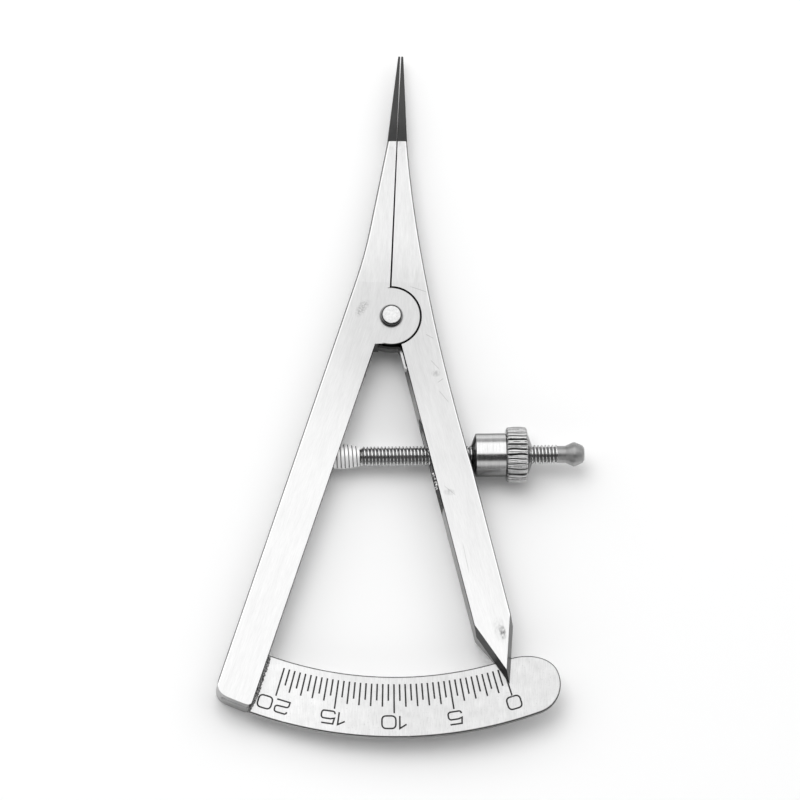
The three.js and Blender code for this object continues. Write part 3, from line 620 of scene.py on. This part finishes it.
# painted shade: the plate darkens towards the right and its walls are darker, most on the right
painted_falloff = plate_steel.step(plate_steel.x, FALLOFF_FROM, FALLOFF_TO) * 0.1
plate_specks = plate_steel.noise(plate_steel.x * 4.5, plate_steel.y * 4.5, plate_steel.z)
plate_specks = plate_steel.step(plate_specks, 0.6, 0.72)
plate_grey = (plate_grain - 0.5) * 0.22 + (plate_cloud - 0.5) * 0.16 + PLATE_LEVEL
plate_grey = plate_grey - painted_falloff - plate_specks * 0.08
wall_falloff_shade = plate_steel.step(plate_steel.x, WALL_FALLOFF_FROM, WALL_FALLOFF_TO)
plate_grey = plate_grey * (1 - plate_steel.wall * (wall_falloff_shade * 0.3 + 0.4))
plate_steel.film(plate_edge_shade * PLATE_EDGE_SHADE_FILM + inner_rim * plate_steel.front * 0.3)
plate_steel.grey(plate_grey * (1 - dark * FILLING_DARK))
plate_steel.rough(plate_grain * 0.12 + 0.26 + dark * 0.3)
plate_steel.relief(plate_grain, 0.004)

plate_points, plate_faces, numbers = [], [], {}


def ring(path, z):
    """Numbers of the plate's points along a flat path, made where they are new."""
    places = [(round(p[0], 5), round(p[1], 5), round(z, 5)) for p in path]
    for place in places:
        if place not in numbers:
            numbers[place] = len(plate_points)
            plate_points.append(place)
    return [numbers[place] for place in places]


def band(low, high):
    """Faces between two closed rings that run the same way."""
    for i in range(len(low)):
        plate_faces.append((low[i - 1], low[i], high[i], high[i - 1]))


def flat_side(outlines, z, order):
    """Triangles over the first outline, left open inside the others."""
    flat, loops = [], []
    for outline in outlines:
        area = sum(a[0] * b[1] - a[1] * b[0] for a, b in zip(outline, outline[1:] + outline[:1]))
        first = len(flat)
        flat += [Vector((p[0], p[1])) for p in outline]
        loops.append(list(range(first, len(flat)))[::1 if area > 0 else -1])
    flat, _, triangles, _, _, owners = delaunay_2d_cdt(flat, [], loops, 1, 1e-6)
    side = ring([(p.x, p.y) for p in flat], z)
    for triangle, owner in zip(triangles, owners):
        if 0 in owner and len(owner) % 2:
            plate_faces.append(tuple(side[i] for i in triangle[::order]))


plate_rim = top_rim("scale_plate", PLATE_TOP)
rim_inwards = left_of(plate_rim, True)
plate_levels = [(PLATE_BELOW, PLATE_BOTTOM), (0.0, PLATE_BOTTOM + PLATE_BELOW)]
plate_levels += [(inset, PLATE_TOP - depth) for inset, depth in PLATE_ROUNDING]
rings = []
for inset, z in plate_levels:
    rings.append(ring([p + inwards * inset for p, inwards in zip(plate_rim, rim_inwards)], z))
for low, high in zip(rings, rings[1:]):
    band(low, high)
outlines = [[p + inwards * PLATE_EDGE for p, inwards in zip(plate_rim, rim_inwards)]]
for path, closed in grooves:
    levels = []
    for width, z in ((GROOVE_WIDTH / 2, PLATE_TOP), (GROOVE_FLOOR / 2, PLATE_TOP - GROOVE_DEPTH)):
        lefts = [left * width for left in left_of(path, closed)]
        sides = [[p + left * side for p, left in zip(path, lefts)] for side in (1, -1)]
        levels.append((sides, [ring(side, z) for side in sides]))
    (sides, (left_top, right_top)), (_, (left_floor, right_floor)) = levels
    if closed:
        outlines += sides
        band(left_floor, left_top)
        band(right_floor, left_floor)
        band(right_top, right_floor)
    else:
        outlines.append(sides[1] + sides[0][::-1])
        band(right_floor + left_floor[::-1], right_top + left_top[::-1])
        plate_faces.append(tuple(right_floor + left_floor[::-1]))
flat_side(outlines, PLATE_TOP, 1)
flat_side([[p + inwards * PLATE_BELOW for p, inwards in zip(plate_rim, rim_inwards)]], PLATE_BOTTOM, -1)
plate = add_piece("engraved_plate", plate_points, plate_faces, plate_steel, 15.0)
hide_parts("scale_plate")
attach(plate, "fixed_leg")


# Brazed seam: the rough dark fillet of filler where the plate leaves the inner wall of the left arm.
# Its edge on the plate is ragged and it thins out towards the rim.
SEAM_STEPS = 90
SEAM_WIDTH = 0.46
SEAM_HEIGHT = 0.5
SEAM_FROM, SEAM_TO = 46.4, 53.6
SEAM_TAPER_FROM = 0.7
SEAM_TAPER = 0.55
LEFT_INNER = 0.78
random.seed(7)


def on_left_arm(offset, distance):
    lean = math.radians(LEFT_LEAN)
    return np.array([
        -offset * math.cos(lean) - distance * math.sin(lean),
        offset * math.sin(lean) - distance * math.cos(lean),
    ])


seam_points = []
for i in range(SEAM_STEPS):
    share = i / (SEAM_STEPS - 1)
    distance = SEAM_FROM + share * (SEAM_TO - SEAM_FROM)
    taper = 1 - SEAM_TAPER * max(0.0, share - SEAM_TAPER_FROM) / (1 - SEAM_TAPER_FROM)
    width = SEAM_WIDTH * taper * random.uniform(0.75, 1.15)
    height = SEAM_HEIGHT * taper * random.uniform(0.8, 1.1)
    wall = on_left_arm(LEFT_INNER - 0.02, distance)
    middle = on_left_arm(LEFT_INNER - width * 0.45, distance)
    foot = on_left_arm(LEFT_INNER - width, distance)
    seam_points += [(*wall, PLATE_TOP - 0.05), (*foot, PLATE_TOP - 0.05), (*foot, PLATE_TOP + 0.03)]
    seam_points.append((*middle, PLATE_TOP + height * random.uniform(0.25, 0.45)))
    seam_points.append((*wall, PLATE_TOP + height))
seam_filler = Finish("seam_filler", 0.8)
seam_filler.rough(0.6)
seam_spots = seam_filler.noise(seam_filler.x * 5.0, seam_filler.y * 5.0, seam_filler.z * 5.0, 3.0)
seam_filler.grey(seam_filler.step(seam_spots, 0.35, 0.7) * 0.55 + 0.1)
seam_filler.relief(seam_spots, 0.05)
seam = add_piece("plate_braze", seam_points, ring_faces(SEAM_STEPS, 5), seam_filler, 50.0)
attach(seam, "fixed_leg")


# Adjusting screw: a rod with a fine right-hand thread of 0.45 mm pitch, fixed in the left arm.
# Its crests stay bright; roots, a top band, the lower half and the gap before the thread are painted shade.
spin = next(joint for joint in frame["joints"] if joint["name"] == "nut_spin")
SCREW_FOOT = Vector(spin["pos_m"]) / MM
SCREW_AXIS = Vector(spin["axis"]).normalized()
SCREW_SIDE = Vector((-SCREW_AXIS.y, SCREW_AXIS.x, 0))
FRONT = Vector((0, 0, 1))


def on_screw(station, radius, turn):
    """Point at a station along the screw, a radius from its axis and a turn about it."""
    around = SCREW_SIDE * math.cos(turn) + FRONT * math.sin(turn)
    return SCREW_FOOT + SCREW_AXIS * station + around * radius


def screw_span(node):
    """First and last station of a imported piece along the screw."""
    stations = [(v.co / MM - SCREW_FOOT).dot(SCREW_AXIS) for v in frame["nodes"][node].data.vertices]
    return min(stations), max(stations)


def turned_piece(name, profile, segments, finish, replaced, body, relief=None, closed=False, sharp=35):
    """Piece turned about the screw from station, radius and share of the relief at that ring."""
    points = []
    depths = []
    for station, radius, share in profile:
        for i in range(segments):
            turn = 2 * math.pi * i / segments
            depths.append(share * relief(station, turn) if share else 0.0)
            points.append(on_screw(station, radius - depths[-1], turn))
    faces = [face[::-1] for face in ring_faces(len(profile), segments, closed)]
    piece = add_piece(name, points, faces, finish, sharp)
    if relief:
        piece.data.attributes.new("depth", "FLOAT", "POINT").data.foreach_set("value", depths)
    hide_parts(replaced)
    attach(piece, body)
    return piece


def depth_of(finish):
    """How deep a place lies below the crests of its piece, in millimetres."""
    return finish.node("ShaderNodeAttribute", {"attribute_name": "depth"}, output=2)


PITCH = 0.45
STEPS_PER_TURN = 10
CREST = 1.215
THREAD_DEPTH = 0.27
THREAD_FLAT = 0.22
THREAD_FLANK = 0.68
THREAD_GAP = 0.24
SHANK = 0.88
SPIGOT_BORE = 0.63
ROOT_SHADE = 0.55
UPPER_BAND_SHADE = 0.66
LOWER_HALF_SHADE = 0.22
GAP_SHADE = 0.85
screw_from, screw_to = screw_span("adjusting_screw")
collar_from, collar_to = screw_span("anchor_collar")
stop_from, stop_to = screw_span("screw_stop")


def thread(station, turn):
    """Depth of the thread below its crest, with rounded crests and roots."""
    phase = (station / PITCH - turn / (2 * math.pi)) % 1.0
    fall = min(max((abs(phase - 0.5) * 2 - THREAD_FLAT) / THREAD_FLANK, 0.0), 1.0)
    return THREAD_DEPTH * (0.5 - 0.5 * math.cos(math.pi * fall))


thread_from = collar_to + THREAD_GAP
steps = int((screw_to - thread_from) / PITCH * STEPS_PER_TURN)
screw_profile = [(screw_from, SHANK, 0.0), (thread_from - 0.03, SHANK, 0.0)]
for i in range(steps + 1):
    screw_profile.append((thread_from + (screw_to - thread_from) * i / steps, CREST, 1.0))
screw_profile += [(screw_to, SPIGOT_BORE, 0.0), (stop_from, SPIGOT_BORE, 0.0)]
thread_steel = Finish("thread_steel")
root = thread_steel.step(depth_of(thread_steel), 0.03, THREAD_DEPTH * 0.9)
upper_band = thread_steel.step(thread_steel.tipwards, 0.62, 0.78)
upper_band = upper_band * (1 - thread_steel.step(thread_steel.tipwards, 0.9, 0.97))
lower_half = thread_steel.step(thread_steel.tipwards * -1.0, 0.0, 0.2)
lower_half = lower_half * (1 - thread_steel.step(thread_steel.tipwards * -1.0, 0.88, 0.96))
gap_to = SCREW_FOOT.x + thread_from * SCREW_AXIS.x
in_gap = 1 - thread_steel.step(thread_steel.x, gap_to - 0.04, gap_to + 0.04)
thread_cloud = thread_steel.noise(thread_steel.x * 3.0, thread_steel.y * 3.0, thread_steel.z * 3.0)
thread_grey = (1 - root * ROOT_SHADE) * (1 - upper_band * UPPER_BAND_SHADE)
thread_grey = thread_grey * (1 - lower_half * LOWER_HALF_SHADE) * (1 - in_gap * GAP_SHADE)
thread_steel.grey(thread_grey * (thread_cloud * 0.2 + 0.68))
thread_steel.rough(thread_cloud * 0.1 + root * 0.2 + 0.12)
turned_piece("threaded_rod", screw_profile, 48, thread_steel, "adjusting_screw", "fixed_leg",
             thread, sharp=25.0)


# Anchor collar: a bright sleeve round the root of the screw, cut with one coarse groove that winds round it.
# It tapers towards the thread.
COLLAR_RADIUS = 1.57
COLLAR_NOSE = 1.3
COLLAR_TAPER = 1.65
COLLAR_STEPS = 90
RIB_PITCH = 0.51
RIB_DEPTH = 0.16
RIB_GROOVE = 0.17


def ribs(station, turn):
    """Depth of the winding groove: narrow and sharp between wide ribs."""
    phase = (station / RIB_PITCH - turn / (2 * math.pi)) % 1.0
    return RIB_DEPTH * max(0.0, 1 - abs(phase - 0.5) / RIB_GROOVE)


collar_profile = [(collar_from, SHANK + 0.03, 0.0), (collar_from, COLLAR_RADIUS, 0.0)]
for i in range(1, COLLAR_STEPS):
    station = collar_from + (collar_to - collar_from) * i / COLLAR_STEPS
    fall = max(0.0, station - (collar_to - COLLAR_TAPER)) / COLLAR_TAPER
    collar_profile.append((station, COLLAR_RADIUS - (COLLAR_RADIUS - COLLAR_NOSE) * fall, 1.0))
collar_profile += [(collar_to, COLLAR_NOSE - 0.05, 0.0), (collar_to, SHANK + 0.03, 0.0)]
collar_steel = Finish("turned_steel_collar", 0.45)
# painted shade in the winding groove, in its grey and in its dark film
groove_shade = collar_steel.step(depth_of(collar_steel), 0.04, 0.13)
collar_cloud = collar_steel.noise(collar_steel.x * 4.0, collar_steel.y * 4.0, collar_steel.z * 4.0)
collar_steel.grey((collar_cloud * 0.06 + 0.97) * (1 - groove_shade * 0.9))
collar_steel.rough(collar_cloud * 0.2 + 0.42)
collar_steel.film(groove_shade * 0.8)
turned_piece("ribbed_collar", collar_profile, 64, collar_steel, "anchor_collar", "fixed_leg",
             ribs, closed=True)


# Screw stop: a smooth neck and a double-cone knob pressed into the end of the screw, left dull and blotchy.
# It keeps the nut from running off.
STOP_RADII = [(0.0, 0.58), (1.96, 0.58), (1.98, 1.07), (3.01, 1.07), (3.05, 1.09), (3.9, 1.49), (4.0, 1.525),
              (4.1, 1.53), (4.22, 1.525), (4.32, 1.49), (5.1, 1.13), (5.2, 1.07), (5.35, 0.84), (5.4, 0.76)]
stop_scale = (stop_to - stop_from) / STOP_RADII[-1][0]
stop_profile = [(stop_from + s * stop_scale, r, 0.0) for s, r in STOP_RADII]
stop_steel = Finish("stop_steel")
stop_cloud = stop_steel.noise(stop_steel.x * 1.3, stop_steel.y * 1.3, stop_steel.z * 1.3, 4.0)
stop_steel.grey(stop_cloud * 0.3 + 0.22)
stop_steel.rough(stop_cloud * 0.2 + 0.32)
stop_steel.relief(stop_cloud, 0.03)
turned_piece("stop_knob", stop_profile, 96, stop_steel, "screw_stop", "fixed_leg")


# Thrust sleeve: a plain turned sleeve that runs on the screw. Its cone nose bears on the right arm.
# Fine turning marks run round it, and the cone is darker than the barrel.
sleeve_from, sleeve_to = screw_span("thrust_sleeve")
SLEEVE_RADIUS = 2.73
SLEEVE_BORE = 1.23
SLEEVE_EDGE = 0.05
NOSE_LENGTH = 0.54
SLEEVE_TOP_SHADE = 0.5
SLEEVE_UNDER_SHADE = 0.62
NOSE_GREY = 0.38
TURNING_RELIEF = 0.004
TURNED_SHEEN = (0.45, 0.45, 0.45, 1)
sleeve_profile = [
    (sleeve_from, SLEEVE_BORE, 0.0),
    (sleeve_from, SLEEVE_BORE + 0.06, 0.0),
    (sleeve_from + NOSE_LENGTH - 0.04, SLEEVE_RADIUS - 0.1, 0.0),
    (sleeve_from + NOSE_LENGTH + 0.02, SLEEVE_RADIUS - 0.02, 0.0),
    (sleeve_from + NOSE_LENGTH + 0.1, SLEEVE_RADIUS, 0.0),
    (sleeve_to - SLEEVE_EDGE, SLEEVE_RADIUS, 0.0),
    (sleeve_to, SLEEVE_RADIUS - SLEEVE_EDGE, 0.0),
    (sleeve_to, SLEEVE_BORE, 0.0),
]


def turned_steel(name, level, roughness):
    """Lathe-turned steel: fine rings across the screw's axis and soft clouds."""
    finish = Finish(name)
    finish.shader.inputs["Specular Tint"].default_value = TURNED_SHEEN
    station = finish.x * SCREW_AXIS.x + finish.y * SCREW_AXIS.y
    rings = finish.noise(station * 16.0, finish.y * 0.3, finish.z * 0.3)
    cloud = finish.noise(finish.x * 1.6, finish.y * 1.6, finish.z * 1.6, 3.0)
    finish.rough(rings * 0.12 + cloud * 0.1 + roughness - 0.1)
    finish.relief(rings, TURNING_RELIEF)
    return finish, rings * 0.24 + cloud * 0.12 + level - 0.18


sleeve_steel, sleeve_grey = turned_steel("turned_steel_sleeve", 0.68, 0.18)
barrel_from = SCREW_FOOT.x + sleeve_from + NOSE_LENGTH
on_barrel = sleeve_steel.step(sleeve_steel.x, barrel_from - 0.25, barrel_from + 0.02)
sleeve_top = sleeve_steel.step(sleeve_steel.tipwards, 0.76, 0.92)
sleeve_under = sleeve_steel.step(sleeve_steel.tipwards * -1.0, 0.76, 0.88)
sleeve_grey = sleeve_grey * (1 - sleeve_top * SLEEVE_TOP_SHADE) * (1 - sleeve_under * SLEEVE_UNDER_SHADE)
sleeve_steel.grey(sleeve_grey * (on_barrel * (1 - NOSE_GREY) + NOSE_GREY))
turned_piece("plain_sleeve", sleeve_profile, 128, sleeve_steel, "thrust_sleeve", "sleeve",
             closed=True)


# Thumb nut: a barrelled wheel with 32 straight, slightly uneven ridges, and a cone at its back.
# Ridges bright on top, grooves between them painted dark as shade, and the wheel's ends chamfered.
nut_from, nut_to = screw_span("thumb_nut")
RIDGES = 32
RIDGE_DEPTH = 0.2
WHEEL_LENGTH = 2.64
WHEEL_RADIUS = 3.56
WHEEL_BARREL = 0.13
WHEEL_EDGE = 0.23
FACE_STEP = 0.12
HUB_RADIUS = 2.87
HUB_LIP = 0.23
NUT_SEGMENTS = RIDGES * 16
CREST_CROWN = 0.03
GROOVE_HALF = 0.26
SCORE_HALF = 0.12
CHAMFER_FROM = 0.86
RIDGE_FADE = 0.6
IN_GROOVE_SHADE = 0.92
random.seed(11)
groove_shift = [random.uniform(-0.1, 0.1) for _ in range(RIDGES)]
groove_bow = [random.uniform(-0.16, 0.16) for _ in range(RIDGES)]
groove_wave = [random.uniform(-0.1, 0.1) for _ in range(RIDGES)]
groove_deep = [random.uniform(0.65, 1.0) for _ in range(RIDGES)]
score_place = [random.uniform(-0.12, 0.12) for _ in range(RIDGES)]
score_deep = [random.uniform(0.0, 0.45) for _ in range(RIDGES)]


def knurl(station, turn):
    """Depth below the crests: uneven grooves, and fainter scores along some of the ridges."""
    share = (station - nut_from) / WHEEL_LENGTH
    bend = (math.sin(math.pi * share), math.sin(2 * math.pi * share))
    place = turn / (2 * math.pi) * RIDGES
    depth = CREST_CROWN * (2 * abs(place - round(place)) - 1) ** 2
    for number in (math.floor(place), math.floor(place) + 1):
        n = number % RIDGES
        sway = groove_shift[n] + groove_bow[n] * bend[0] + groove_wave[n] * bend[1]
        away = abs(place - number - sway) / GROOVE_HALF
        depth = max(depth, RIDGE_DEPTH * groove_deep[n] * (1 - away))
        away = abs(place - number - 0.5 - sway * 0.6 - score_place[n]) / SCORE_HALF
        depth = max(depth, RIDGE_DEPTH * score_deep[n] * (1 - away))
    return min(depth, RIDGE_DEPTH)


wheel_face = WHEEL_RADIUS - WHEEL_BARREL - WHEEL_EDGE - FACE_STEP
nut_profile = [(nut_from, SLEEVE_BORE, 0.0), (nut_from, wheel_face, 0.0)]
for share in (0.0, 0.03, 0.07, 0.12, 0.2, 0.3, 0.4, 0.5, 0.6, 0.7, 0.8, 0.88, 0.93, 0.97, 1.0):
    from_middle = abs(2 * share - 1)
    edge = WHEEL_EDGE * max(0.0, (from_middle - CHAMFER_FROM) / (1 - CHAMFER_FROM)) ** 1.5
    radius = WHEEL_RADIUS - WHEEL_BARREL * from_middle ** 2 - edge
    nut_profile.append((nut_from + share * WHEEL_LENGTH, radius, 1.0 - RIDGE_FADE * edge / WHEEL_EDGE))
wheel_to = nut_from + WHEEL_LENGTH
nut_profile += [
    (wheel_to, HUB_RADIUS, 0.0),
    (nut_to - 0.02, SLEEVE_BORE + HUB_LIP, 0.0),
    (nut_to, SLEEVE_BORE + HUB_LIP - 0.03, 0.0),
    (nut_to, SLEEVE_BORE, 0.0),
]
nut_steel, nut_grey = turned_steel("turned_steel_nut", 0.66, 0.16)
in_groove = nut_steel.step(depth_of(nut_steel), 0.02, RIDGE_DEPTH * 0.65)
nut_steel.grey(nut_grey * (1 - in_groove * IN_GROOVE_SHADE))
turned_piece("knurled_nut", nut_profile, NUT_SEGMENTS, nut_steel, "thumb_nut", "nut",
             knurl, closed=True, sharp=50.0)


# Floor: a plain white sheet that the caliper lies on, touching the knurled wheel and the left leg's back.
# It keeps the shadows, and a little white is added for what the camera and the metal see.
FLOOR_SIZE = 6.0
FLOOR_WHITE = 0.92
FLOOR_ADDED = 0.02
FLOOR_BELOW = 0.02
ARM_REST = (LEFT_INNER + 4.6, 49.5)
DISC_REST = (-5.0, 3.5, 0.0)
wheel_low, wheel_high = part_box("thumb_nut")
wheel_rest = Vector(((wheel_low.x + wheel_high.x) / 2, SCREW_FOOT.y * MM, wheel_low.z))
arm_rest = Vector((*(on_left_arm(*ARM_REST) * MM), 0.0))
disc_rest = Vector(DISC_REST) * MM
floor_up = (disc_rest - arm_rest).cross(wheel_rest - arm_rest).normalized()
if floor_up.z < 0:
    floor_up = -floor_up
floor_mesh = bpy.data.meshes.new("floor")
half = FLOOR_SIZE / 2
corners = [(-half, -half, 0), (half, -half, 0), (half, half, 0), (-half, half, 0)]
floor_mesh.from_pydata(corners, [], [(0, 1, 2, 3)])
floor = bpy.data.objects.new("floor", floor_mesh)
bpy.context.scene.collection.objects.link(floor)
floor.rotation_mode = "QUATERNION"
floor.rotation_quaternion = floor_up.to_track_quat("Z", "Y")
floor.location = arm_rest - floor_up * FLOOR_BELOW * MM
sheet = Network(bpy.data.materials.new("white_sheet"))
sheet_shader = sheet.tree.nodes["Principled BSDF"]
sheet_shader.inputs["Base Color"].default_value = (FLOOR_WHITE, FLOOR_WHITE, FLOOR_WHITE, 1)
sheet_shader.inputs["Roughness"].default_value = 0.9
sheet_shader.inputs["Specular IOR Level"].default_value = 0.0
ray = sheet.node("ShaderNodeLightPath").socket.node.outputs
seen = Wire(sheet, ray["Is Camera Ray"]) + Wire(sheet, ray["Is Glossy Ray"])
seen = seen + Wire(sheet, ray["Is Transmission Ray"])
glow = seen * FLOOR_ADDED
white = sheet.node("ShaderNodeCombineColor", None, {0: glow, 1: glow, 2: glow})
sheet.feed(sheet_shader.inputs["Emission Color"], white)
sheet_shader.inputs["Emission Strength"].default_value = 1
floor_mesh.materials.append(sheet.owner)


# Studio: a broad soft panel of light behind the tips and overhead, dark round the camera, and grey sides.
# Each band of it runs from one height to another, in degrees, up to its brightness. One soft lamp from the
# upper left gives the floor its shadows and stays out of the metal's reflections.
UNDER = 0.3
LOW_FRONT = (-78.0, -62.0, 0.75)
ROUND_CAMERA = (-50.0, -38.0, 0.05)
PANEL = (-9.0, -3.0, 1.42)
BEHIND_PANEL = (56.0, 66.0, 0.45)
FAR_BACK = (70.0, 105.0, 0.75)
SIDE_FROM, SIDE_TO = 0.6, 0.92
SIDE_GREY = 0.62
SIDE_SLOPE = 0.12
LAMP_POWER = 0.83
LAMP_SIZE = 0.28
LAMP_PLACE = Vector((-0.085, 0.13, 0.46))
world = bpy.data.worlds.new("studio")
bpy.context.scene.world = world
studio = Network(world)
direction = studio.node("ShaderNodeTexCoord")
parts = studio.node("ShaderNodeSeparateXYZ", None, {0: direction}).socket.node.outputs
east, north, above = (Wire(studio, parts[i]) for i in range(3))
height = north.maths("ARCTAN2", north, above) * (180 / math.pi)
level = lower = UNDER
for low, high, brightness in (LOW_FRONT, ROUND_CAMERA, PANEL, BEHIND_PANEL, FAR_BACK):
    level = level + studio.step(height, low, high) * (brightness - lower)
    lower = brightness
to_side = studio.step(abs(east), SIDE_FROM, SIDE_TO)
level = level * (1 - to_side) + (SIDE_GREY - east * SIDE_SLOPE) * to_side
camera_ray = Wire(studio, studio.node("ShaderNodeLightPath").socket.node.outputs["Is Camera Ray"])
level = level * (1 - camera_ray) + camera_ray
background = studio.tree.nodes["Background"]
studio.feed(background.inputs["Strength"], level)
background.inputs["Color"].default_value = (1, 1, 1, 1)
lamp_data = bpy.data.lights.new("soft_lamp", "AREA")
lamp_data.size = LAMP_SIZE
lamp_data.energy = LAMP_POWER
lamp = bpy.data.objects.new("soft_lamp", lamp_data)
bpy.context.scene.collection.objects.link(lamp)
lamp.location = LAMP_PLACE
lamp.rotation_mode = "QUATERNION"
lamp.rotation_quaternion = (-LAMP_PLACE).to_track_quat("-Z", "Y")
lamp.visible_camera = False
lamp.visible_glossy = False


# Camera: far away with a long lens, looking down on the tool from a little below and to the left of it.
# The angles and the scale were fitted to the outlines in the photograph.
CAMERA_TILT = 12.303
CAMERA_SIDE = 3.0
CAMERA_ROLL = -0.154
PIXELS_PER_MM = 7.913
FRAME_PIXELS = 800
CAMERA_FAR = 4000
AIM = Vector((1.195, -10.336, 2.43))
tilt, aside, roll = (math.radians(a) for a in (CAMERA_TILT, CAMERA_SIDE, CAMERA_ROLL))
back = Vector((-math.sin(aside) * math.cos(tilt), -math.sin(tilt), math.cos(aside) * math.cos(tilt)))
right = Vector((math.cos(aside), 0, math.sin(aside)))
upward = back.cross(right)
rolled = right * math.cos(roll) + upward * math.sin(roll)
camera_data = bpy.data.cameras.new("camera")
camera_data.lens = camera_data.sensor_width * CAMERA_FAR * PIXELS_PER_MM / FRAME_PIXELS
camera_data.clip_end = 20
camera = bpy.data.objects.new("camera", camera_data)
bpy.context.scene.collection.objects.link(camera)
top = back.cross(rolled)
place = (AIM + back * CAMERA_FAR) * MM
camera.matrix_world = Matrix.Translation(place) @ Matrix((rolled, top, back)).transposed().to_4x4()
bpy.context.scene.camera = camera
bpy.context.scene.view_settings.view_transform = "Standard"
